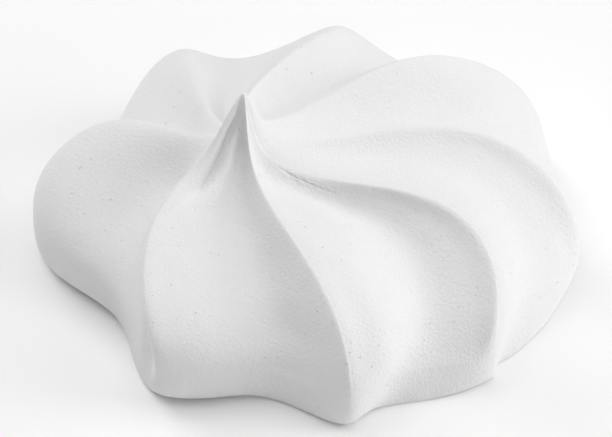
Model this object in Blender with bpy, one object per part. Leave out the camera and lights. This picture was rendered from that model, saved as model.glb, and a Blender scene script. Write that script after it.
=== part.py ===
"""A meringue cookie, piped through a star nozzle and baked hard: one solid piece.

Eight ridges fan out from a peak that stands left of the middle. Broad scooped valleys lie
between them. The underside is flat and the cookie stands on z = 0, with the middle of its
outline at x = y = 0. Lengths are in metres and angles in degrees, anticlockwise from +X.
"""

import math
from dataclasses import dataclass

import bmesh
import bpy
from mathutils import Vector

NAME = "meringue"
LENGTH = 0.060  # along X, over the tips of the ridges

# The design is drawn for this mean reach of a ridge and then scaled to LENGTH.
REACH = 0.0294
HEIGHT = 0.0234
PEAK = Vector((-0.0056, -0.0004))
RIM_HEIGHT = 0.0046  # where the sides are widest
VALLEY_TUCK = 0.0018  # how far the foot of a valley is drawn in under the rim

# How the mesh is shared out over the form.
COLUMNS_PER_RIDGE = 12
RINGS = 48
BASE_RINGS = 2  # the last rings, which make the flat underside
CROWDING = 0.45  # how much closer the columns stand at a ridge than in a valley
RIM_SHARE = 0.86  # share of the way from the peak to the foot at which the rim lies
CROWN_SPREAD = 1.25  # more than 1 puts the rings closer together at the peak
INNER_BASE = 0.45  # radius of the inner ring of the underside, as a share of the foot's

# Shares of the way down. The neck widens into the body, and low down the ridges turn blunt.
SMOOTH_TIP = 0.06  # above it there are no valleys
NECK_START = 0.09
NECK_END = 0.32
TOE_START = 0.55

TIP_ROUNDING = 0.055  # radius of the peak's tip, as a share of the reach
NOSE_SHARE = 0.58  # share of the peak's height over the dome that its blunt nose makes
VALLEY_SPIRE = 0.200  # how far the peak's cone spreads along a valley, as a share of the reach
VALLEY_NOSE = 0.045  # the same for the nose


@dataclass(frozen=True)
class Section:
    """The upright section from the peak down to the foot, along a ridge or along a valley."""

    shoulder: float  # height of the dome under the peak, as a share of HEIGHT
    fullness: float  # 2 makes the dome an ellipse, and more makes it squarer
    reach: float  # how far out the section goes, as a share of the ridges' reach


@dataclass(frozen=True)
class Course:
    """A share that changes on the way down the cookie."""

    neck: float
    body: float
    toe: float


@dataclass(frozen=True)
class Ridge:
    """One ridge, and the valley between it and the next ridge round, clockwise."""

    reach: float  # from the middle to the rim
    foot: float  # bearing of the foot
    middle: float  # bearing half-way up
    crown: float  # bearing at the peak
    swell: float  # how far the crest rises above the common section
    tuck: float  # how far the toe is drawn in under the rim
    spire: float  # how far the peak's cone spreads along the ridge, as a share of the reach
    nose: float  # the same for the blunt nose
    roundness: float  # 1 gives the crest the common rounding, and less makes it sharper
    scoop: Course  # depth of the valley, where 1 is the common section
    trough: Course  # where the valley is deepest, as a share of the way to the next ridge


CREST = Section(shoulder=0.655, fullness=3.0, reach=1.0)
VALLEY = Section(shoulder=0.513, fullness=2.3, reach=0.83)
ROUNDING = Course(neck=0.38, body=0.34, toe=0.75)  # of the crests, where 0 is knife-sharp

# Each row: reach, the bearings at the foot, half-way and at the peak, swell, tuck, spire,
# nose and roundness, and below it the scoop and the trough.
FRONT = Ridge(
    0.0315, -78.6, -81.3, -94.5, 0.0012, 0.0022, 0.100, 0.080, 0.6,
    Course(0.75, 1.02, 0.86), Course(0.32, 0.32, 0.44),
)
FRONT_LEFT = Ridge(
    0.0304, -119.5, -141.5, -155, -0.0006, 0.0022, 0.100, 0.200, 0.5,
    Course(0.15, 1.12, 1.35), Course(0.42, 0.36, 0.44),
)
LEFT = Ridge(
    0.0304, -178.0, -195.8, -182, 0.0007, 0.0015, 0.080, 0.060, 1.1,
    Course(0.15, 1.30, 0.98), Course(0.38, 0.40, 0.38),
)
BACK_LEFT = Ridge(
    0.0288, -238, -235, -212, -0.0008, 0.0013, 0.080, 0.060, 0.9,
    Course(0.60, 0.66, 0.40), Course(0.36, 0.46, 0.60),
)
BACK = Ridge(
    0.0297, -282, -274, -242, 0.0001, 0.0013, 0.250, 0.045, 0.5,
    Course(0.50, 0.60, 0.40), Course(0.46, 0.50, 0.50),
)
BACK_RIGHT = Ridge(
    0.0328, -330, -315.9, -323, 0.0022, 0.0013, 0.100, 0.045, 0.5,
    Course(0.05, 0.40, 0.09), Course(0.60, 0.64, 0.20),
)
RIGHT = Ridge(
    0.0334, -372, -349.5, -370, 0.0008, 0.0012, 0.080, 0.045, 0.7,
    Course(0.03, 0.40, 0.14), Course(0.36, 0.36, 0.93),
)
FRONT_RIGHT = Ridge(
    0.0320, -406.5, -388.4, -427, 0.0008, 0.0007, 0.070, 0.045, 0.9,
    Course(0.20, 0.78, 0.26), Course(0.60, 0.25, 0.78),
)
RIDGES = (FRONT, FRONT_LEFT, LEFT, BACK_LEFT, BACK, BACK_RIGHT, RIGHT, FRONT_RIGHT)

MERINGUE_COLOUR = (0.83, 0.81, 0.80, 1.0)
MERINGUE_ROUGHNESS = 0.85


def mixed(first, second, share):
    """The value a share of the way from the first to the second."""
    return first * (1 - share) + second * share


def ramp(value, low, high):
    """Rises smoothly from 0 at the low limit to 1 at the high one."""
    share = max(0, min(1, (value - low) / (high - low)))
    return share * share * (3 - 2 * share)


def value_at(course, down):
    """The course's value at a share of the way down."""
    upper = mixed(course.neck, course.body, ramp(down, NECK_START, NECK_END))
    bluntness = max(0, (down - TOE_START) / (1 - TOE_START)) ** 2
    return mixed(upper, course.toe, bluntness)


def cone_share(out, spire, nose):
    """Height of the peak over the dome, 1 at the tip: a pointed cone with a blunt nose in it."""
    way = math.hypot(out, TIP_ROUNDING) - TIP_ROUNDING
    return mixed(math.exp(-way / spire), math.exp(-((out / nose) ** 2)), NOSE_SHARE)


def section_point(section, spire, nose, tuck, down):
    """Distance out, as a share of the ridge's reach, and height, for a share of the way down."""
    if down > RIM_SHARE:
        angle = math.pi / 2 * (down - RIM_SHARE) / (1 - RIM_SHARE)
        drawn_in = tuck / REACH * (1 - math.cos(angle))
        return (1 - drawn_in) * section.reach, RIM_HEIGHT * (1 - math.sin(angle))
    angle = math.pi / 2 * (1 - (down / RIM_SHARE) ** CROWN_SPREAD)
    power = section.fullness
    stretch = (math.cos(angle) ** power + math.sin(angle) ** power) ** (-1 / power)
    out = stretch * math.cos(angle)
    dome = (section.shoulder * HEIGHT - RIM_HEIGHT) * stretch * math.sin(angle)
    peak = (1 - section.shoulder) * HEIGHT * cone_share(out, spire, nose)
    return out * section.reach, RIM_HEIGHT + dome + peak


def bearing(ridge, out):
    """The ridge's bearing at a share of its reach: a smooth curve through its three bearings."""
    at_crown = (1 - out) * (1 - 2 * out)
    at_middle = 4 * out * (1 - out)
    at_foot = out * (2 * out - 1)
    return ridge.crown * at_crown + ridge.middle * at_middle + ridge.foot * at_foot


def valley_share(ridge, following, across, down):
    """0 on a ridge, 1 in the trough, for a share of the way to the next ridge."""
    trough = value_at(ridge.trough, down)
    near = across * (1 - trough)
    wave = math.sin(math.pi * near / (near + trough * (1 - across)))
    radius = value_at(ROUNDING, down) * mixed(ridge.roundness, following.roundness, across)
    return (math.hypot(wave, radius) - radius) / (math.hypot(1, radius) - radius)


def surface_point(index, across, down):
    """A point of the skin: the ridge, the share of the way to the next, and the share down."""
    ridge = RIDGES[index]
    following = RIDGES[(index + 1) % len(RIDGES)]
    turn = 360 if index + 1 == len(RIDGES) else 0
    spire = mixed(ridge.spire, following.spire, across)
    nose = mixed(ridge.nose, following.nose, across)
    tuck = mixed(ridge.tuck, following.tuck, across)
    crest_out, crest_height = section_point(CREST, spire, nose, tuck, down)
    if down < RIM_SHARE:
        swell = mixed(ridge.swell, following.swell, across)
        crest_height += swell * 27 / 4 * crest_out**2 * (1 - crest_out)
    valley = section_point(VALLEY, VALLEY_SPIRE, VALLEY_NOSE, VALLEY_TUCK, down)

    scoop = value_at(ridge.scoop, down) * ramp(down, 0, SMOOTH_TIP)
    scoop *= valley_share(ridge, following, across, down)
    out = mixed(crest_out, valley[0], scoop)
    height = mixed(crest_height, valley[1], scoop)
    angle = mixed(bearing(ridge, crest_out), bearing(following, crest_out) - turn, across)
    angle = math.radians(angle)
    rim = Vector((math.cos(angle), math.sin(angle))) * mixed(ridge.reach, following.reach, across)
    plan = mixed(PEAK, rim, out)
    return Vector((plan.x, plan.y, height))


def column_place(column):
    """The ridge before a column of the mesh, and the share of the way from it to the next."""
    index, step = divmod(column, COLUMNS_PER_RIDGE)
    share = step / COLUMNS_PER_RIDGE
    return index, share - CROWDING * math.sin(2 * math.pi * share) / (2 * math.pi)


def skin_point(column, ring):
    """Where the sphere's vertex at this column and ring goes."""
    index, across = column_place(column)
    last = RINGS - BASE_RINGS
    point = surface_point(index, across, min(ring, last) / last)
    if ring > last:
        point *= INNER_BASE
        point.z = 0
    return point


def shape_sphere(mesh):
    """Moves each vertex of a globe onto the meringue's skin, its top pole onto the peak."""
    columns = COLUMNS_PER_RIDGE * len(RIDGES)
    for vertex in mesh.verts:
        x, y, z = vertex.co
        ring = round(math.acos(max(-1, min(1, z))) / math.pi * RINGS)
        column = round(-math.atan2(y, x) / (2 * math.pi) * columns) % columns
        if ring == RINGS:
            vertex.co = Vector((0, 0, 0))
        else:
            vertex.co = skin_point(column, ring)


def settle(mesh):
    """Scales the cookie to its length and puts the middle of its outline over the origin."""
    low = Vector([min(vertex.co[axis] for vertex in mesh.verts) for axis in range(3)])
    high = Vector([max(vertex.co[axis] for vertex in mesh.verts) for axis in range(3)])
    middle = (low + high) / 2
    middle.z = low.z
    scale = LENGTH / (high.x - low.x)
    for vertex in mesh.verts:
        vertex.co = (vertex.co - middle) * scale


def meringue_material():
    """Baked egg white and sugar: chalky white and quite matte."""
    material = bpy.data.materials.new(NAME)
    material.use_nodes = True
    shader = material.node_tree.nodes["Principled BSDF"]
    shader.inputs["Base Color"].default_value = MERINGUE_COLOUR
    shader.inputs["Roughness"].default_value = MERINGUE_ROUGHNESS
    shader.inputs["Metallic"].default_value = 0.0
    return material


def make_meringue(collection):
    """The whole cookie, from a globe whose columns run along the ridges and valleys."""
    mesh = bmesh.new()
    columns = COLUMNS_PER_RIDGE * len(RIDGES)
    bmesh.ops.create_uvsphere(mesh, u_segments=columns, v_segments=RINGS, radius=1)
    shape_sphere(mesh)
    settle(mesh)
    data = bpy.data.meshes.new(NAME)
    mesh.to_mesh(data)
    mesh.free()
    data.shade_smooth()
    data.materials.append(meringue_material())
    cookie = bpy.data.objects.new(NAME, data)
    collection.objects.link(cookie)
    return cookie


def main():
    """Clears the scene and builds the cookie in a collection of its own."""
    for thing in list(bpy.data.objects):
        bpy.data.objects.remove(thing)
    collection = bpy.data.collections.new("meringue_cookie")
    bpy.context.scene.collection.children.link(collection)
    make_meringue(collection)


main()
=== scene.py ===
"""A meringue cookie: one piped star of egg white and sugar, baked hard and dry.

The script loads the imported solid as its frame, builds the fine skin of the cookie around it,
dresses the skin in baked meringue and sets up a small studio. Lengths are in millimetres
unless a name says otherwise, and angles are in degrees, anticlockwise from +X.
"""

import logging
import math
import random
from dataclasses import dataclass
from dataclasses import field

import bmesh
import bpy
import numpy as np
from mathutils import Matrix
from mathutils import Vector
from mathutils import noise


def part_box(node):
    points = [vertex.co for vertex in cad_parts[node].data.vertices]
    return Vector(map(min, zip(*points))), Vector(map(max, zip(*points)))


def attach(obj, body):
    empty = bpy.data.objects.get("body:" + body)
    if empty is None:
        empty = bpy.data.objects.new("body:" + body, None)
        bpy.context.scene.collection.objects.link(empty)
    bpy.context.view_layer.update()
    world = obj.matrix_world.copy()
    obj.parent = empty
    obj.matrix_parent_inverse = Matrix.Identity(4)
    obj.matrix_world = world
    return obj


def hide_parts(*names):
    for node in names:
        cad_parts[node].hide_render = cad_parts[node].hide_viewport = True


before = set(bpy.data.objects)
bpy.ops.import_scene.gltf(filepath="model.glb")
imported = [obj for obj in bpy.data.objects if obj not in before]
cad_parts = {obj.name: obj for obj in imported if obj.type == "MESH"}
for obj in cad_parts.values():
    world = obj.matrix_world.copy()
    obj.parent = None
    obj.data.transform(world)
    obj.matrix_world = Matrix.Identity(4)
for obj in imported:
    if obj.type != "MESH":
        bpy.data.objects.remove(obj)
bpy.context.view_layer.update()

MM = 0.001
NODE = "meringue"
BODY = "root"

# Each use of the noise is shifted by a seed of its own.
LUMP_SEED = 20.0
DIMPLE_SEED = 40.0
STREAK_SEED = 0.5
PATCH_SEED = 60.0

SWELL_SCALE = 27 / 4  # brings the top of the curve x * x * (1 - x) up to 1
TINY = 1e-9

Values = float | np.ndarray

log = logging.getLogger("meringue")


def mixed(first: Values, second: Values, share: Values) -> Values:
    """Mix two values.

    Args:
        first: the value at a share of 0.
        second: the value at a share of 1.
        share: how far to go from the first to the second.

    Returns:
        The value in between, an array where any of the three is one.
    """
    return first * (1 - share) + second * share


def ramp(value: Values, low: float, high: float) -> Values:
    """Rise smoothly from 0 to 1 between two limits.

    Args:
        value: what is judged.
        low: where the rise starts.
        high: where the rise ends.

    Returns:
        Shares from 0 to 1, in the shape of value.
    """
    share = np.clip((value - low) / (high - low), 0.0, 1.0)
    return share * share * (3 - 2 * share)


@dataclass(frozen=True)
class Section:
    """The upright section from the peak down to the foot, along a ridge or along a valley.

    Args:
        shoulder: height of the dome under the peak, as a share of the whole height.
        fullness: 2 makes the dome an ellipse, and more makes it squarer.
        reach: how far out the section goes, as a share of the ridges' reach.
    """

    shoulder: float
    fullness: float
    reach: float


@dataclass(frozen=True)
class Course:
    """A value that changes on the way down the cookie.

    Args:
        neck: the value at the peak.
        body: the value on the body.
        toe: the value at the foot.
    """

    neck: float
    body: float
    toe: float


@dataclass(frozen=True)
class Valley:
    """The scoop between a ridge and the next one clockwise.

    Args:
        scoop: depth, where 1 is the common section.
        trough: where it is deepest, as a share of the way across.
    """

    scoop: Course
    trough: Course


@dataclass(frozen=True)
class Ridge:
    """One ridge and the valley that follows it clockwise.

    Args:
        reach: from the middle to the rim.
        foot: bearing of the foot.
        middle: bearing half-way up.
        crown: bearing at the peak.
        swell: how far the crest rises above the common section.
        tuck: how far the toe is drawn in under the rim.
        spire: how far out the peak's cone spreads along it, as a share of the reach.
        nose: the same for the blunt nose in the cone.
        roundness: 1 gives its crest the common rounding, and less makes it sharper.
        valley: the scoop between this ridge and the next.
    """

    reach: float
    foot: float
    middle: float
    crown: float
    swell: float
    tuck: float
    spire: float
    nose: float
    roundness: float
    valley: Valley

    def bearing(self, out: np.ndarray) -> np.ndarray:
        """Give the ridge's bearing on a smooth curve through its three bearings.

        Args:
            out: shares of the reach, 0 at the peak and 1 at the rim.

        Returns:
            Bearings in degrees.
        """
        at_crown = (1 - out) * (1 - 2 * out)
        at_middle = 4 * out * (1 - out)
        at_foot = out * (2 * out - 1)
        return self.crown * at_crown + self.middle * at_middle + self.foot * at_foot


# Each row: reach, the bearings at the foot, half-way and at the peak, swell, tuck, spire, nose,
# roundness and the valley after the ridge.
FRONT = Ridge(
    31.5, -78.6, -81.3, -94.5, 1.2, 2.2, 0.100, 0.080, 0.6,
    Valley(Course(0.75, 1.02, 0.86), Course(0.32, 0.32, 0.44)),
)
FRONT_LEFT = Ridge(
    30.4, -119.5, -141.5, -155, -0.6, 2.2, 0.100, 0.200, 0.5,
    Valley(Course(0.15, 1.12, 1.35), Course(0.42, 0.36, 0.44)),
)
LEFT = Ridge(
    30.4, -178.0, -195.8, -182, 0.7, 1.5, 0.080, 0.060, 1.1,
    Valley(Course(0.15, 1.30, 0.98), Course(0.38, 0.40, 0.38)),
)
BACK_LEFT = Ridge(
    28.8, -238, -235, -212, -0.8, 1.3, 0.080, 0.060, 0.9,
    Valley(Course(0.60, 0.66, 0.40), Course(0.36, 0.46, 0.60)),
)
BACK = Ridge(
    29.7, -282, -274, -242, 0.1, 1.3, 0.250, 0.045, 0.5,
    Valley(Course(0.50, 0.60, 0.40), Course(0.46, 0.50, 0.50)),
)
BACK_RIGHT = Ridge(
    32.8, -330, -315.9, -323, 2.2, 1.3, 0.100, 0.045, 0.5,
    Valley(Course(0.05, 0.40, 0.09), Course(0.60, 0.64, 0.20)),
)
RIGHT = Ridge(
    33.4, -372, -349.5, -370, 0.8, 1.2, 0.080, 0.045, 0.7,
    Valley(Course(0.03, 0.40, 0.14), Course(0.36, 0.36, 0.93)),
)
FRONT_RIGHT = Ridge(
    32.0, -406.5, -388.4, -427, 0.8, 0.7, 0.070, 0.045, 0.9,
    Valley(Course(0.20, 0.78, 0.26), Course(0.60, 0.25, 0.78)),
)


@dataclass
class PipedForm:
    """The form that the star nozzle left: ridges and valleys from the peak to the foot.

    Args:
        height: from the board to the tip.
        peak: plan position of the tip.
        rim_height: where the sides are widest.
        valley_tuck: how far a valley's foot is drawn in under the rim.
        crest: upright section along a ridge.
        hollow: upright section along a valley.
        hollow_spire: how far out the peak's cone spreads along a valley.
        hollow_nose: the same for the blunt nose in the cone.
        ridges: the ridges, clockwise from the front.
        mean_reach: the ridges' reach, over which the tucks are measured.
        rounding: rounding of the crests, where 0 is knife-sharp.
        neck_start: share of the way down at which the neck begins to widen.
        neck_end: share of the way down at which it has passed into the body.
        toe_start: share of the way down at which the ridges begin to blunt.
        nose_share: share of the peak's cone that the nose makes.
        smooth_tip: share of the way down above which there are no valleys.
        tip_rounding: radius of the tip, as a share of the reach.
        rim_share: share of the way down at which the rim lies.
        crown_spread: more than 1 puts the rings closer together at the peak.
    """

    height: float = 23.4
    peak: tuple[float, float] = (-5.6, -0.4)
    rim_height: float = 4.6
    valley_tuck: float = 1.8
    crest: Section = Section(shoulder=0.655, fullness=3.0, reach=1.0)
    hollow: Section = Section(shoulder=0.513, fullness=2.3, reach=0.83)
    hollow_spire: float = 0.200
    hollow_nose: float = 0.045
    ridges: tuple[Ridge, ...] = (
        FRONT,
        FRONT_LEFT,
        LEFT,
        BACK_LEFT,
        BACK,
        BACK_RIGHT,
        RIGHT,
        FRONT_RIGHT,
    )
    mean_reach: float = 29.4
    rounding: Course = Course(neck=0.38, body=0.34, toe=0.75)
    neck_start: float = 0.09
    neck_end: float = 0.32
    toe_start: float = 0.55
    nose_share: float = 0.58
    smooth_tip: float = 0.06
    tip_rounding: float = 0.055
    rim_share: float = 0.86
    crown_spread: float = 1.25

    def section_points(
        self,
        section: Section,
        spire: np.ndarray,
        nose: np.ndarray,
        down: np.ndarray,
        tuck: np.ndarray,
    ) -> tuple[np.ndarray, np.ndarray]:
        """Follow a section from the peak to the foot.

        Args:
            section: the section to follow.
            spire: how far out the peak's cone spreads.
            nose: how far out the nose in it spreads.
            down: shares of the way down.
            tuck: how far the foot is drawn in under the rim.

        Returns:
            Distances out, as shares of the reach, and heights.
        """
        above = np.clip(down / self.rim_share, 0.0, 1.0)
        angle = math.pi / 2 * (1 - above**self.crown_spread)
        power = section.fullness
        stretch = (np.cos(angle) ** power + np.sin(angle) ** power) ** (-1 / power)
        out = stretch * np.cos(angle)
        dome = (section.shoulder * self.height - self.rim_height) * stretch * np.sin(angle)
        way = np.hypot(out, self.tip_rounding) - self.tip_rounding
        blunt = np.exp(-((out / nose) ** 2))
        cone = mixed(np.exp(-way / spire), blunt, self.nose_share)
        height = self.rim_height + dome + (1 - section.shoulder) * self.height * cone

        below = np.clip((down - self.rim_share) / (1 - self.rim_share), 0.0, 1.0)
        under = math.pi / 2 * below
        drawn_in = 1 - tuck / self.mean_reach * (1 - np.cos(under))
        height = np.where(below > 0, self.rim_height * (1 - np.sin(under)), height)
        return np.where(below > 0, drawn_in, out) * section.reach, height

    def value_at(self, course: Course, down: np.ndarray) -> np.ndarray:
        """Blend the value of the neck into that of the body and that into the toes'.

        Args:
            course: the value's course.
            down: shares of the way down.

        Returns:
            The value at each share.
        """
        upper = mixed(course.neck, course.body, ramp(down, self.neck_start, self.neck_end))
        blunt = np.clip((down - self.toe_start) / (1 - self.toe_start), 0.0, 1.0) ** 2
        return mixed(upper, course.toe, blunt)

    def valley_share(
        self, ridge: Ridge, following: Ridge, across: np.ndarray, down: np.ndarray
    ) -> np.ndarray:
        """Give 0 on a ridge and 1 in the trough.

        Args:
            ridge: the ridge before the valley.
            following: the ridge after it.
            across: shares of the way to the next ridge.
            down: shares of the way down.

        Returns:
            Shares of the valley's depth.
        """
        trough = self.value_at(ridge.valley.trough, down)
        near = across * (1 - trough)
        wave = np.sin(math.pi * near / (near + trough * (1 - across)))
        radius = self.value_at(self.rounding, down)
        radius = radius * mixed(ridge.roundness, following.roundness, across)
        return (np.hypot(wave, radius) - radius) / (np.hypot(1, radius) - radius)

    def sector(self, index: int, across: np.ndarray, down: np.ndarray) -> np.ndarray:
        """Lay out the skin between a ridge and the next one clockwise.

        Args:
            index: the ridge that the sector starts from.
            across: shares of the way to the next ridge.
            down: shares of the way down, in the same shape.

        Returns:
            Points, with x, y and z on the last axis.
        """
        ridge = self.ridges[index]
        following = self.ridges[(index + 1) % len(self.ridges)]
        turn = 360 if index + 1 == len(self.ridges) else 0
        tuck = mixed(ridge.tuck, following.tuck, across)
        spire = mixed(ridge.spire, following.spire, across)
        nose = mixed(ridge.nose, following.nose, across)
        crest_out, crest_height = self.section_points(self.crest, spire, nose, down, tuck)
        valley_out, valley_height = self.section_points(
            self.hollow, self.hollow_spire, self.hollow_nose, down, self.valley_tuck
        )
        swell = mixed(ridge.swell, following.swell, across) * (down < self.rim_share)
        crest_height = crest_height + swell * SWELL_SCALE * crest_out**2 * (1 - crest_out)

        scoop = self.value_at(ridge.valley.scoop, down) * ramp(down, 0.0, self.smooth_tip)
        scoop = scoop * self.valley_share(ridge, following, across, down)
        out = mixed(crest_out, valley_out, scoop)
        height = mixed(crest_height, valley_height, scoop)
        angle = mixed(ridge.bearing(crest_out), following.bearing(crest_out) - turn, across)
        angle = np.radians(angle)
        reach = mixed(ridge.reach, following.reach, across)
        x = mixed(self.peak[0], reach * np.cos(angle), out)
        y = mixed(self.peak[1], reach * np.sin(angle), out)
        return np.stack([x, y, height], axis=-1)


@dataclass(frozen=True)
class Fold:
    """A pleat that stands up from the skin, or a crease where its lift is negative.

    Args:
        ridge: the ridge that it runs clockwise of.
        upper: where its upper end lies, as a share of the way to the next ridge.
        lower: the same for its lower end.
        start: share of the way down at which it starts.
        end: share of the way down at which it ends.
        half_width: from its middle line to where it has nearly died out.
        lift: its height.
    """

    ridge: Ridge
    upper: float
    lower: float
    start: float
    end: float
    half_width: float
    lift: float


# Each row: the ridge, the upper and lower place, the start and end, the half width and the lift.
NECK_PLEAT = Fold(FRONT, 0.50, 0.72, 0.05, 0.30, 1.4, 0.30)
NECK_CREASE = Fold(FRONT, 0.62, 0.90, 0.00, 0.31, 0.9, -1.00)
# The rib lies on the front left ridge itself, so each of its flanks is a fold of its own sector.
RIB = Fold(FRONT, 1.00, 1.00, 0.16, 0.90, 2.6, 0.50)
RIB_BACK = Fold(FRONT_LEFT, 0.00, 0.00, 0.16, 0.90, 2.6, 0.50)
FRONT_HOLLOW = Fold(FRONT, 0.34, 0.38, 0.48, 0.95, 6.0, -0.50)
LEFT_CREASE = Fold(FRONT_LEFT, 0.07, 0.08, 0.25, 0.99, 2.2, -1.10)
SHOULDER_CREASE = Fold(BACK_RIGHT, 0.87, 0.88, 0.12, 0.80, 1.6, -0.80)
RIGHT_GROOVE = Fold(RIGHT, 0.13, 0.13, 0.30, 0.88, 2.4, -0.28)
FRONT_RIGHT_GROOVE = Fold(FRONT_RIGHT, 0.10, 0.10, 0.22, 0.88, 2.4, -0.30)
FRONT_GROOVE = Fold(FRONT_RIGHT, 0.88, 0.90, 0.35, 0.82, 2.6, -0.30)


def noise_at(points: np.ndarray, size: float, seed: float) -> np.ndarray:
    """Read smooth noise at many points.

    Args:
        points: points in millimetres, with x, y and z on the last axis.
        size: the noise's grain in millimetres.
        seed: shifts the noise, so that two uses of it differ.

    Returns:
        Values from about -1 to 1, one for each point.
    """
    flat = points.reshape(-1, 3) / size + seed
    values = [noise.noise(point) for point in flat]
    return np.array(values).reshape(points.shape[:-1])


@dataclass
class SkinRelief:
    """What lies on the piped form: pleats, creases, flow lines and slight lumps.

    Args:
        folds: the pleats and creases.
        streak_spacing: between the fine lines that the nozzle drew.
        streak_length: of those lines.
        streak_depth: of those lines.
        streak_patch: across the patches of skin that have such lines.
        streak_edge: from a ridge to where the lines begin, and to where they are full.
        lump_size: across the slight lumps.
        lump_height: of the slight lumps.
        dimple_size: across the shallow dimples.
        dimple_depth: of the shallow dimples.
        fade_start: share of the way down at which all of this begins to die out.
        fade_end: share of the way down below which the skin is smooth.
    """

    folds: tuple[Fold, ...] = (
        NECK_PLEAT,
        NECK_CREASE,
        RIB,
        RIB_BACK,
        FRONT_HOLLOW,
        LEFT_CREASE,
        SHOULDER_CREASE,
        RIGHT_GROOVE,
        FRONT_RIGHT_GROOVE,
        FRONT_GROOVE,
    )
    streak_spacing: float = 0.5
    streak_length: float = 9.0
    streak_depth: float = 0.018
    streak_patch: float = 6.0
    streak_edge: tuple[float, float] = (0.2, 1.5)
    lump_size: float = 7.0
    lump_height: float = 0.14
    dimple_size: float = 2.2
    dimple_depth: float = 0.030
    fade_start: float = 0.94
    fade_end: float = 0.99

    def window(self, down: np.ndarray, start: float, end: float) -> np.ndarray:
        """Fade in after a start and out before an end.

        Args:
            down: shares of the way down.
            start: where the window opens.
            end: where it has closed.

        Returns:
            Shares from 0 to 1.
        """
        third = (end - start) / 3
        return ramp(down, start, start + third) * (1 - ramp(down, end - third, end))

    def fold_height(self, fold: Fold, along: np.ndarray, down: np.ndarray) -> np.ndarray:
        """Give a fold's height over its own sector.

        Args:
            fold: the fold.
            along: distances from the ridge before it, with the next ridge at the end.
            down: shares of the way down.

        Returns:
            Heights in millimetres.
        """
        share = np.clip((down - fold.start) / (fold.end - fold.start), 0.0, 1.0)
        middle = along[-1:] * mixed(fold.upper, fold.lower, share)
        bell = np.exp(-(((along - middle) / (fold.half_width / 2)) ** 2) / 2)
        return fold.lift * bell * self.window(down, fold.start, fold.end)

    def heights(self, form: PipedForm, points: np.ndarray, down: np.ndarray) -> np.ndarray:
        """Give the relief over the whole skin.

        Args:
            form: the piped form under the relief.
            points: the form's points, by column, ring and axis.
            down: shares of the way down, by column and ring.

        Returns:
            Heights in millimetres over the form.
        """
        relief = noise_at(points, self.lump_size, LUMP_SEED) * self.lump_height
        relief += noise_at(points, self.dimple_size, DIMPLE_SEED) * self.dimple_depth
        count = len(points) // len(form.ridges)
        for index, ridge in enumerate(form.ridges):
            part = slice(index * count, (index + 1) * count)
            closed = np.concatenate([points[part], points[(index + 1) * count % len(points)][None]])
            steps = np.linalg.norm(np.diff(closed, axis=0), axis=-1)
            along = np.concatenate([np.zeros_like(steps[:1]), np.cumsum(steps, axis=0)])
            levels = np.concatenate([down[part], down[:1]])
            for fold in self.folds:
                if fold.ridge is ridge:
                    relief[part] += self.fold_height(fold, along, levels)[:-1]
            relief[part] += self.streaks(index, closed, along)[:-1]
        return relief * (1 - ramp(down, self.fade_start, self.fade_end))

    def streaks(self, index: int, points: np.ndarray, along: np.ndarray) -> np.ndarray:
        """Give the fine flow lines of one sector.

        Args:
            index: the sector's number, by which its lines differ from the others'.
            points: the sector's points.
            along: distances from the ridge before it.

        Returns:
            Heights in millimetres, fading out at the ridges.
        """
        length = np.linalg.norm(points - points[:, :1], axis=-1)
        ways = np.stack(
            [
                along / self.streak_spacing,
                length / self.streak_length,
                np.full_like(along, 5.0 * index),
            ],
            axis=-1,
        )
        lines = noise_at(ways, 1.0, STREAK_SEED)
        edge = np.minimum(along, along[-1:] - along)
        patches = ramp(noise_at(points, self.streak_patch, PATCH_SEED), -0.2, 0.5)
        return lines * patches * ramp(edge, *self.streak_edge) * self.streak_depth


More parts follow.
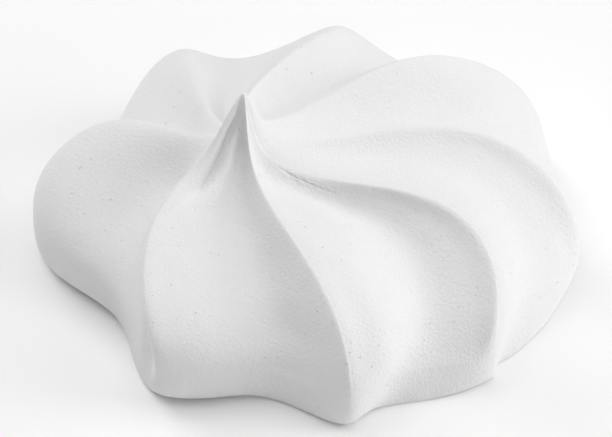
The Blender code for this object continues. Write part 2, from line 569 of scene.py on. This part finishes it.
@dataclass
class Crack:
    """The torn crack beside a ridge, where the drying skin parted.

    Args:
        ridge: the ridge that it runs clockwise of.
        upper: where its upper end lies, as a share of the way to the next ridge.
        lower: the same for its lower end.
        start: share of the way down at which it starts.
        end: share of the way down at which it closes.
        half_width: from its middle line to its lips.
        depth: of its bottom under the skin.
        crumb: size of the torn crumbs.
        crumb_height: how far the crumbs stand up.
        fineness: how many times smaller the finer crumbs on them are.
        reach: how far from the middle line the skin is torn.
        core: share of the reach within which it is fully torn.
        open_by: share of the way along at which the crack is fully open.
        closing_from: share of the way along from which it closes again.
        steps: points along its middle line.
        span: what lies further than this from its upper end, in x or y, can't be near it.
    """

    ridge: Ridge = FRONT_RIGHT
    upper: float = 0.20
    lower: float = 0.12
    start: float = 0.12
    end: float = 0.31
    half_width: float = 0.11
    depth: float = 0.16
    crumb: float = 0.28
    crumb_height: float = 0.16
    fineness: float = 2.3
    reach: float = 0.75
    core: float = 0.3
    open_by: float = 0.25
    closing_from: float = 0.45
    steps: int = 60
    span: float = 12.0

    def middle_line(self, form: PipedForm) -> np.ndarray:
        """Lay out the crack's middle line on the form.

        Args:
            form: the piped form.

        Returns:
            Points in millimetres.
        """
        share = np.linspace(0.0, 1.0, self.steps)
        across = mixed(self.upper, self.lower, share)
        down = mixed(self.start, self.end, share)
        return form.sector(form.ridges.index(self.ridge), across, down)

    def tear(self, mesh: bmesh.types.BMesh, form: PipedForm) -> None:
        """Refine the skin along the crack and tear it open.

        Args:
            mesh: the skin, in millimetres.
            form: the form under it.
        """
        line = self.middle_line(form)
        inside = self.torn(mesh, line)
        edges = [edge for edge in mesh.edges if inside.issuperset(edge.verts)]
        bmesh.ops.subdivide_edges(mesh, edges=edges, cuts=1, use_grid_fill=True)
        mesh.normal_update()
        moves = [(vertex, self.move(vertex, line)) for vertex in self.torn(mesh, line)]
        for vertex, move in moves:
            vertex.co += vertex.normal * move

    def torn(self, mesh: bmesh.types.BMesh, line: np.ndarray) -> set[bmesh.types.BMVert]:
        """Find the vertices that the tear reaches.

        Args:
            mesh: the skin.
            line: the crack's middle line.

        Returns:
            The vertices.
        """
        return {vertex for vertex in mesh.verts if self.away(vertex.co, line)[0] < self.reach}

    def away(self, point: Vector, line: np.ndarray) -> tuple[float, float]:
        """Measure how far a point lies from the middle line.

        Args:
            point: the point.
            line: the middle line.

        Returns:
            The distance, and the share of the way along the line.
        """
        if max(abs(point.x - line[0][0]), abs(point.y - line[0][1])) > self.span:
            return math.inf, 0.0
        gaps = np.linalg.norm(line - np.array(point), axis=1)
        nearest = int(gaps.argmin())
        return float(gaps[nearest]), nearest / (self.steps - 1)

    def move(self, vertex: bmesh.types.BMVert, line: np.ndarray) -> float:
        """Find how far a vertex of the torn skin stands out.

        Args:
            vertex: the vertex.
            line: the crack's middle line.

        Returns:
            The distance along the vertex's normal, below 0 in the crack.
        """
        gap, share = self.away(vertex.co, line)
        fade = ramp(share, 0.0, self.open_by) * (1 - ramp(share, self.closing_from, 1.0))
        wander = noise.noise(vertex.co / (self.crumb * 3)) * self.half_width
        crumbs = noise.noise(vertex.co / self.crumb)
        crumbs += noise.noise(vertex.co * self.fineness / self.crumb) / 2
        slit = math.exp(-(((gap + wander) / self.half_width) ** 2))
        torn = 1 - ramp(gap, self.reach * self.core, self.reach)
        return float(fade * (crumbs * self.crumb_height * torn - slit * self.depth))


@dataclass(frozen=True)
class PorePatch:
    """A place where many bubbles burst through the skin.

    Args:
        x: plan position of its middle.
        y: the same.
        radius: within which most of them lie.
        count: how many.
    """

    x: float
    y: float
    radius: float
    count: int

    def draw_radius(self, draw: random.Random) -> float:
        """Draw a distance from the middle, so that the pits thin out on a bell curve.

        Args:
            draw: the random draws.

        Returns:
            The distance in millimetres, within the 95 in 100 that lie nearest.
        """
        return self.radius * math.sqrt(-math.log(1 - draw.random() * 0.95) / 2)


@dataclass
class Pores:
    """Small round pits that burst bubbles left in the skin.

    Args:
        patches: where they crowd.
        scattered: how many more lie all over.
        least_width: of the smallest.
        most_width: of the widest.
        depth: of a pit, as a share of its width.
        least_rim: the skin left round a pit in a small face, as a share of the face.
        squareness: the least ratio of the sides of a face that can hold a round pit.
        lowest: height below which there are none.
        bare_tip: how far round the tip there are none.
        sizes: how many sizes the pits come in.
        seed: of the random draws.
    """

    patches: tuple[PorePatch, ...] = (
        PorePatch(-22.0, -5.0, 5.0, 200),
        PorePatch(-9.0, -17.0, 5.0, 260),
        PorePatch(13.0, -14.0, 5.0, 300),
        PorePatch(20.0, -4.0, 6.0, 260),
        PorePatch(12.0, 8.0, 7.0, 260),
        PorePatch(-6.0, 17.0, 8.0, 200),
        PorePatch(-20.0, 10.0, 6.0, 140),
    )
    scattered: int = 400
    least_width: float = 0.16
    most_width: float = 0.32
    depth: float = 0.50
    least_rim: float = 0.1
    squareness: float = 0.5
    lowest: float = 1.0
    bare_tip: float = 5.0
    sizes: int = 6
    seed: int = 5

    def prick(self, mesh: bmesh.types.BMesh) -> None:
        """Pit the skin, with more small pits than wide ones.

        Args:
            mesh: the skin, in millimetres.
        """
        draw = random.Random(self.seed)
        mesh.normal_update()
        used = set()
        groups = [[] for _ in range(self.sizes)]
        for face in self.places(mesh, draw):
            if used.isdisjoint(face.verts):
                used.update(face.verts)
                groups[int(self.sizes * draw.random() ** 2)].append(face)
        for index, group in enumerate(groups):
            share = index / (self.sizes - 1)
            self.pit(mesh, group, mixed(self.least_width, self.most_width, share))

    def places(
        self, mesh: bmesh.types.BMesh, draw: random.Random
    ) -> list[bmesh.types.BMFace]:
        """Draw the faces that the pits go into.

        Args:
            mesh: the skin.
            draw: the random draws.

        Returns:
            The faces, each of them once.
        """
        tip = max(mesh.verts, key=lambda vertex: vertex.co.z).co
        # The operators leave the faces in an order that changes from run to run.
        ordered = sorted(mesh.faces, key=lambda face: tuple(face.calc_center_median()))
        faces = [f for f in ordered if f.normal.z > 0 and self.is_square(f)]
        faces = [f for f in faces if f.calc_center_median().z > self.lowest]
        faces = [f for f in faces if (f.calc_center_median() - tip).length > self.bare_tip]
        chosen = draw.sample(faces, self.scattered)
        for patch in self.patches:
            middle = Vector((patch.x, patch.y))
            near = [
                f
                for f in faces
                if (f.calc_center_median().xy - middle).length < patch.draw_radius(draw)
            ]
            chosen += draw.sample(near, min(patch.count, len(near)))
        return list(dict.fromkeys(chosen))

    def is_square(self, face: bmesh.types.BMFace) -> bool:
        """Tell whether a face has four sides that are about as long as each other.

        Args:
            face: the face.

        Returns:
            True where a pit in the face comes out round.
        """
        sides = [edge.calc_length() for edge in face.edges]
        return len(sides) == 4 and min(sides) > self.squareness * max(sides)

    def pit(
        self, mesh: bmesh.types.BMesh, faces: list[bmesh.types.BMFace], width: float
    ) -> None:
        """Sink a pit of one size into each of some faces.

        Args:
            mesh: the skin.
            faces: where the pits go.
            width: of the pits, which a small face makes smaller.
        """
        sides = [edge.calc_length() for face in faces for edge in face.edges]
        room = math.fsum(sides) / len(sides)
        rim = max(room - width, room * self.least_rim) / 2
        bmesh.ops.inset_individual(mesh, faces=faces, thickness=rim)
        bmesh.ops.poke(mesh, faces=faces, offset=-width * self.depth)


@dataclass
class CookieSkin:
    """The skin of the whole cookie, as a globe pulled onto the piped form.

    Args:
        form: the form that the nozzle left.
        relief: what lies on it.
        crack: the torn crack beside a ridge.
        pores: the burst bubbles.
        columns_per_ridge: columns of the mesh from one ridge to the next.
        rings: rings of the mesh from the tip to the middle of the underside.
        base_rings: the last rings, which make the flat underside.
        crowding: how much closer the columns stand at a ridge than in a valley.
    """

    form: PipedForm = field(default_factory=PipedForm)
    relief: SkinRelief = field(default_factory=SkinRelief)
    crack: Crack = field(default_factory=Crack)
    pores: Pores = field(default_factory=Pores)
    columns_per_ridge: int = 80
    rings: int = 130
    base_rings: int = 5
    crowding: float = 0.45

    def grid(self) -> np.ndarray:
        """Lay out every vertex of the skin.

        Returns:
            Points in millimetres, by column, ring and axis.
        """
        last = self.rings - self.base_rings
        rings = np.arange(self.rings + 1)
        down = np.minimum(rings, last) / last
        step = np.arange(self.columns_per_ridge) / self.columns_per_ridge
        across = step - self.crowding * np.sin(2 * math.pi * step) / (2 * math.pi)
        across, down = np.meshgrid(across, down, indexing="ij")
        sectors = [
            self.form.sector(index, across, down) for index in range(len(self.form.ridges))
        ]
        points = np.concatenate(sectors)
        inward = np.clip((self.rings - rings) / self.base_rings, 0.0, 1.0)
        down = np.concatenate([down] * len(self.form.ridges))
        relief = self.relief.heights(self.form, points, down)
        points = points + self.outward(points) * relief[..., None]
        points[:, rings >= last, 2] = 0.0
        points[:, rings >= last] *= inward[rings >= last][None, :, None]
        return points

    def outward(self, points: np.ndarray) -> np.ndarray:
        """Find which way the skin faces.

        Args:
            points: the grid, by column, ring and axis.

        Returns:
            Unit vectors, or zeros where the grid runs into a pole.
        """
        round_way = np.roll(points, -1, axis=0) - np.roll(points, 1, axis=0)
        down_way = np.gradient(points, axis=1)
        facing = np.cross(round_way, down_way)
        size = np.linalg.norm(facing, axis=-1, keepdims=True)
        return np.where(size > TINY, facing / np.maximum(size, TINY), 0.0)

    def settling(self, points: np.ndarray) -> Matrix:
        """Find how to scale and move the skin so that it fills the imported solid's box.

        Args:
            points: the grid in millimetres.

        Returns:
            The transform from the form's millimetres to the frame's metres.
        """
        low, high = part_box(NODE)
        least = Vector(points.reshape(-1, 3).min(axis=0))
        most = Vector(points.reshape(-1, 3).max(axis=0))
        middle = (least + most) / 2
        middle.z = least.z
        goal = (low + high) / 2
        goal.z = low.z
        scale = (high.x - low.x) / (most.x - least.x)
        return Matrix.Translation(goal) @ Matrix.Scale(scale, 4) @ Matrix.Translation(-middle)

    def wrap(self, globe: bmesh.types.BMesh, points: np.ndarray) -> None:
        """Pull a globe onto the grid, with its top pole at the tip.

        Args:
            globe: the globe, of radius 1.
            points: the grid, by column, ring and axis.
        """
        columns = len(points)
        for vertex in globe.verts:
            x, y, z = vertex.co
            ring = round(math.acos(max(-1.0, min(1.0, z))) / math.pi * self.rings)
            column = round(-math.atan2(y, x) / (2 * math.pi) * columns) % columns
            vertex.co = Vector(points[column, ring])

    def build(self) -> bpy.types.Object:
        """Make the skin's mesh and object.

        Returns:
            The finished piece, standing on its body.
        """
        points = self.grid()
        mesh = bmesh.new()
        bmesh.ops.create_uvsphere(mesh, u_segments=len(points), v_segments=self.rings, radius=1)
        self.wrap(mesh, points)
        self.crack.tear(mesh, self.form)
        self.pores.prick(mesh)
        mesh.transform(self.settling(points))
        data = bpy.data.meshes.new("meringue_skin")
        mesh.to_mesh(data)
        mesh.free()
        data.shade_smooth()
        piece = bpy.data.objects.new("meringue_skin", data)
        bpy.context.scene.collection.objects.link(piece)
        return piece


def linear(code: str) -> tuple[float, float, float, float]:
    """Turn an sRGB hex colour to the linear values that shaders read.

    Args:
        code: six hex digits.

    Returns:
        Red, green, blue and an alpha of 1.
    """
    shares = [int(code[i : i + 2], 16) / 255 for i in (0, 2, 4)]
    values = [s / 12.92 if s <= 0.04045 else ((s + 0.055) / 1.055) ** 2.4 for s in shares]
    return (*values, 1.0)


def add_node(
    tree: bpy.types.NodeTree,
    kind: str,
    settings: dict[str, object],
    links: dict[str | int, bpy.types.NodeSocket],
) -> bpy.types.Node:
    """Add a node with its settings and links.

    Args:
        tree: the material's node tree.
        kind: the node's type.
        settings: values by name, for the node's own options or else for its input sockets.
        links: output sockets by the name or the index of the input that each goes into.

    Returns:
        The new node.
    """
    node = tree.nodes.new(kind)
    for name, value in settings.items():
        if name in node.inputs:
            node.inputs[name].default_value = value
        else:
            setattr(node, name, value)
    for name, socket in links.items():
        tree.links.new(socket, node.inputs[name])
    return node


def per_metre(size: float) -> float:
    """Turn the size of a pattern to a texture's scale.

    Args:
        size: the pattern's grain in millimetres.

    Returns:
        The scale over object coordinates in metres.
    """
    return 1 / (size * MM)


@dataclass(frozen=True)
class BakedMeringue:
    """Baked meringue: dried egg-white foam, piped and slowly baked.

    The skin is chalky and nearly white, and light goes a little way into it. Fine grain and
    the smallest burst bubbles are drawn in its bump, coarser than they are, so that they show.
    The bubbles' hollows are painted a little darker, as painted shade.

    Args:
        colour: of the skin.
        warm_colour: of the patches that browned a trace more.
        painted_pit_shade: painted shade inside the smallest bubbles, darker than the skin.
        roughness: of the skin.
        specular: how strongly it shines, where 0.5 is the shader's own.
        glow: how much of the light goes into the foam.
        glow_depth: how far it goes, in millimetres.
        glow_shares: how far red, green and blue go, as shares of that.
        patch_size: across the warmer patches, in millimetres.
        grain_size: of the fine grain, in millimetres.
        pit_spacing: between the smallest bubbles, in millimetres.
        relief: height of the grain and the bubbles, in millimetres.
    """

    colour: str = "EDECEC"
    warm_colour: str = "EAE9E9"
    painted_pit_shade: str = "DCD8D7"
    roughness: float = 0.8
    specular: float = 0.2
    glow: float = 0.2
    glow_depth: float = 0.5
    glow_shares: tuple[float, float, float] = (1.0, 0.95, 0.92)
    patch_size: float = 9.0
    grain_size: float = 0.3
    pit_spacing: float = 0.7
    relief: float = 0.12

    def material(self) -> bpy.types.Material:
        """Make the material.

        Returns:
            The material, with its nodes.
        """
        material = bpy.data.materials.new("baked_meringue")
        material.use_nodes = True
        tree = material.node_tree
        shader = tree.nodes["Principled BSDF"]
        shader.inputs["Roughness"].default_value = self.roughness
        shader.inputs["Specular IOR Level"].default_value = self.specular
        shader.inputs["Subsurface Weight"].default_value = self.glow
        shader.inputs["Subsurface Radius"].default_value = self.glow_shares
        shader.inputs["Subsurface Scale"].default_value = self.glow_depth * MM
        place = add_node(tree, "ShaderNodeTexCoord", {}, {}).outputs["Object"]
        pits = self.pits(tree, place)
        tree.links.new(self.tint(tree, place, pits), shader.inputs["Base Color"])
        tree.links.new(self.bump(tree, place, pits), shader.inputs["Normal"])
        return material

    def pits(
        self, tree: bpy.types.NodeTree, place: bpy.types.NodeSocket
    ) -> bpy.types.NodeSocket:
        """Scatter the smallest bubbles in patches.

        Args:
            tree: the material's node tree.
            place: the coordinates.

        Returns:
            A socket that is 1 inside a bubble and 0 elsewhere.
        """
        cells = add_node(
            tree,
            "ShaderNodeTexVoronoi",
            {"Scale": per_metre(self.pit_spacing)},
            {"Vector": place},
        )
        # A cell's colour is a random draw: the lowest draws get no bubble, the highest a wide one.
        size = add_node(
            tree,
            "ShaderNodeMapRange",
            {"From Min": 0.4, "From Max": 0.9, "To Min": 0.001, "To Max": 0.30},
            {"Value": cells.outputs["Color"]},
        )
        hollow = add_node(
            tree,
            "ShaderNodeMapRange",
            {"interpolation_type": "SMOOTHSTEP", "From Min": 0.0, "To Min": 1.0, "To Max": 0.0},
            {"Value": cells.outputs["Distance"], "From Max": size.outputs["Result"]},
        )
        crowds = add_node(
            tree,
            "ShaderNodeTexNoise",
            {"Scale": per_metre(self.patch_size), "Detail": 1.0},
            {"Vector": place},
        )
        share = add_node(
            tree,
            "ShaderNodeMapRange",
            {"From Min": 0.46, "From Max": 0.58},
            {"Value": crowds.outputs["Fac"]},
        )
        both = add_node(
            tree,
            "ShaderNodeMath",
            {"operation": "MULTIPLY"},
            {0: hollow.outputs["Result"], 1: share.outputs["Result"]},
        )
        return both.outputs["Value"]

    def tint(
        self,
        tree: bpy.types.NodeTree,
        place: bpy.types.NodeSocket,
        pits: bpy.types.NodeSocket,
    ) -> bpy.types.NodeSocket:
        """Colour the skin, with slightly warmer patches and painted shade in the bubbles.

        Args:
            tree: the material's node tree.
            place: the coordinates.
            pits: where the smallest bubbles are.

        Returns:
            The colour's socket.
        """
        patches = add_node(
            tree,
            "ShaderNodeTexNoise",
            {"Scale": per_metre(self.patch_size), "Detail": 3.0, "Roughness": 0.6},
            {"Vector": place},
        )
        skin = add_node(
            tree,
            "ShaderNodeMixRGB",
            {"Color1": linear(self.colour), "Color2": linear(self.warm_colour)},
            {"Fac": patches.outputs["Fac"]},
        )
        # Painted shade: the bubbles' hollows are darkened in the colour, as if shade lay in them.
        pit_shade_mix = add_node(
            tree,
            "ShaderNodeMixRGB",
            {"Color2": linear(self.painted_pit_shade)},
            {"Fac": pits, "Color1": skin.outputs["Color"]},
        )
        return pit_shade_mix.outputs["Color"]

    def bump(
        self,
        tree: bpy.types.NodeTree,
        place: bpy.types.NodeSocket,
        pits: bpy.types.NodeSocket,
    ) -> bpy.types.NodeSocket:
        """Roughen the skin with fine grain and sink the smallest bubbles.

        Args:
            tree: the material's node tree.
            place: the coordinates.
            pits: where the smallest bubbles are.

        Returns:
            The bent normal's socket.
        """
        grain = add_node(
            tree,
            "ShaderNodeTexNoise",
            {"Scale": per_metre(self.grain_size), "Detail": 2.0},
            {"Vector": place},
        )
        height = add_node(
            tree,
            "ShaderNodeMath",
            {"operation": "SUBTRACT"},
            {0: grain.outputs["Fac"], 1: pits},
        )
        bump = add_node(
            tree,
            "ShaderNodeBump",
            {"Strength": 0.8, "Distance": self.relief * MM},
            {"Height": height.outputs["Value"]},
        )
        return bump.outputs["Normal"]


@dataclass(frozen=True)
class SoftBox:
    """One square soft light that faces the cookie.

    Args:
        name: the light's name.
        bearing: the side that it stands on.
        climb: how high it stands, as an angle above the floor.
        watts: its power.
    """

    name: str
    bearing: float
    climb: float
    watts: float

    def build(self, distance: float, size: float) -> None:
        """Hang the light.

        Args:
            distance: from the cookie, in millimetres.
            size: its side, in millimetres.
        """
        data = bpy.data.lights.new(self.name, "AREA")
        data.size = size * MM
        data.energy = self.watts
        turn = math.radians(self.bearing)
        climb = math.radians(self.climb)
        flat = math.cos(climb)
        way = Vector((math.cos(turn) * flat, math.sin(turn) * flat, math.sin(climb)))
        light = bpy.data.objects.new(self.name, data)
        light.location = way * distance * MM
        light.rotation_euler = way.to_track_quat("Z", "Y").to_euler()
        bpy.context.scene.collection.objects.link(light)


SOFT_BOXES = (
    SoftBox("right_light", 0, 12, 1.5),
    SoftBox("right_high_light", 0, 40, 0.8),
    SoftBox("top_right_light", 0, 68, 0.4),
    SoftBox("front_right_low_light", -45, 12, 0.5),
    SoftBox("front_light", -90, 40, 0.4),
    SoftBox("top_front_light", -90, 68, 0.4),
    SoftBox("left_light", 180, 12, 0.2),
    SoftBox("top_left_light", 180, 68, 0.8),
    SoftBox("back_left_light", 135, 12, 0.6),
    SoftBox("back_left_high_light", 135, 40, 0.9),
    SoftBox("top_back_light", 90, 68, 0.5),
)


@dataclass
class Studio:
    """A pale floor, soft light and a long lens that looks down on the cookie.

    Args:
        elevation: the camera's angle above the floor.
        distance: from the camera to the point that it looks at.
        lens: the camera's focal length.
        aim: the point that it looks at.
        light_distance: from the middle of the cookie to each light.
        light_size: the side of each light.
        floor_radius: of the round floor.
        floor_gap: between the floor and the cookie, so that their faces don't meet.
        floor_colour: of the floor.
        floor_roughness: of the floor.
    """

    elevation: float = 42.5
    distance: float = 334.0
    lens: float = 176.5
    aim: tuple[float, float, float] = (0.05, 2.25, 2.45)
    light_distance: float = 600.0
    light_size: float = 350.0
    floor_radius: float = 3000.0
    floor_gap: float = 0.05
    floor_colour: str = "FBFBFB"
    floor_roughness: float = 0.9

    def build(self) -> None:
        """Set the floor, the dark room, the lights and the camera."""
        self.floor()
        self.room()
        for box in SOFT_BOXES:
            box.build(self.light_distance, self.light_size)
        self.camera()

    def floor(self) -> None:
        """Lay the floor under the cookie."""
        mesh = bmesh.new()
        bmesh.ops.create_circle(mesh, cap_ends=True, segments=64, radius=self.floor_radius * MM)
        data = bpy.data.meshes.new("floor")
        mesh.to_mesh(data)
        mesh.free()
        floor = bpy.data.objects.new("floor", data)
        floor.location.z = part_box(NODE)[0].z - self.floor_gap * MM
        bpy.context.scene.collection.objects.link(floor)
        material = bpy.data.materials.new("pale_floor")
        material.use_nodes = True
        shader = material.node_tree.nodes["Principled BSDF"]
        shader.inputs["Base Color"].default_value = linear(self.floor_colour)
        shader.inputs["Roughness"].default_value = self.floor_roughness
        data.materials.append(material)

    def room(self) -> None:
        """Darken the room, so that the soft boxes give all the light, and show plain colours."""
        world = bpy.data.worlds.new("dark_room")
        world.use_nodes = True
        world.node_tree.nodes["Background"].inputs["Strength"].default_value = 0.0
        bpy.context.scene.world = world
        bpy.context.scene.view_settings.view_transform = "Standard"

    def camera(self) -> None:
        """Place the camera in front of the cookie and above it."""
        data = bpy.data.cameras.new("camera")
        data.lens = self.lens
        camera = bpy.data.objects.new("camera", data)
        tilt = math.radians(self.elevation)
        back = Vector((0.0, -math.cos(tilt), math.sin(tilt)))
        camera.location = (Vector(self.aim) + back * self.distance) * MM
        camera.rotation_euler = back.to_track_quat("Z", "Y").to_euler()
        bpy.context.scene.collection.objects.link(camera)
        bpy.context.scene.camera = camera


def main() -> None:
    """Build the cookie and its studio, and log the skin's vertex count."""
    logging.basicConfig(level=logging.INFO, format="%(message)s")
    skin = CookieSkin().build()
    skin.data.materials.append(BakedMeringue().material())
    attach(skin, BODY)
    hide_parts(NODE)
    log.info("%s: %d vertices", skin.name, len(skin.data.vertices))
    Studio().build()


if __name__ == "__main__":
    main()
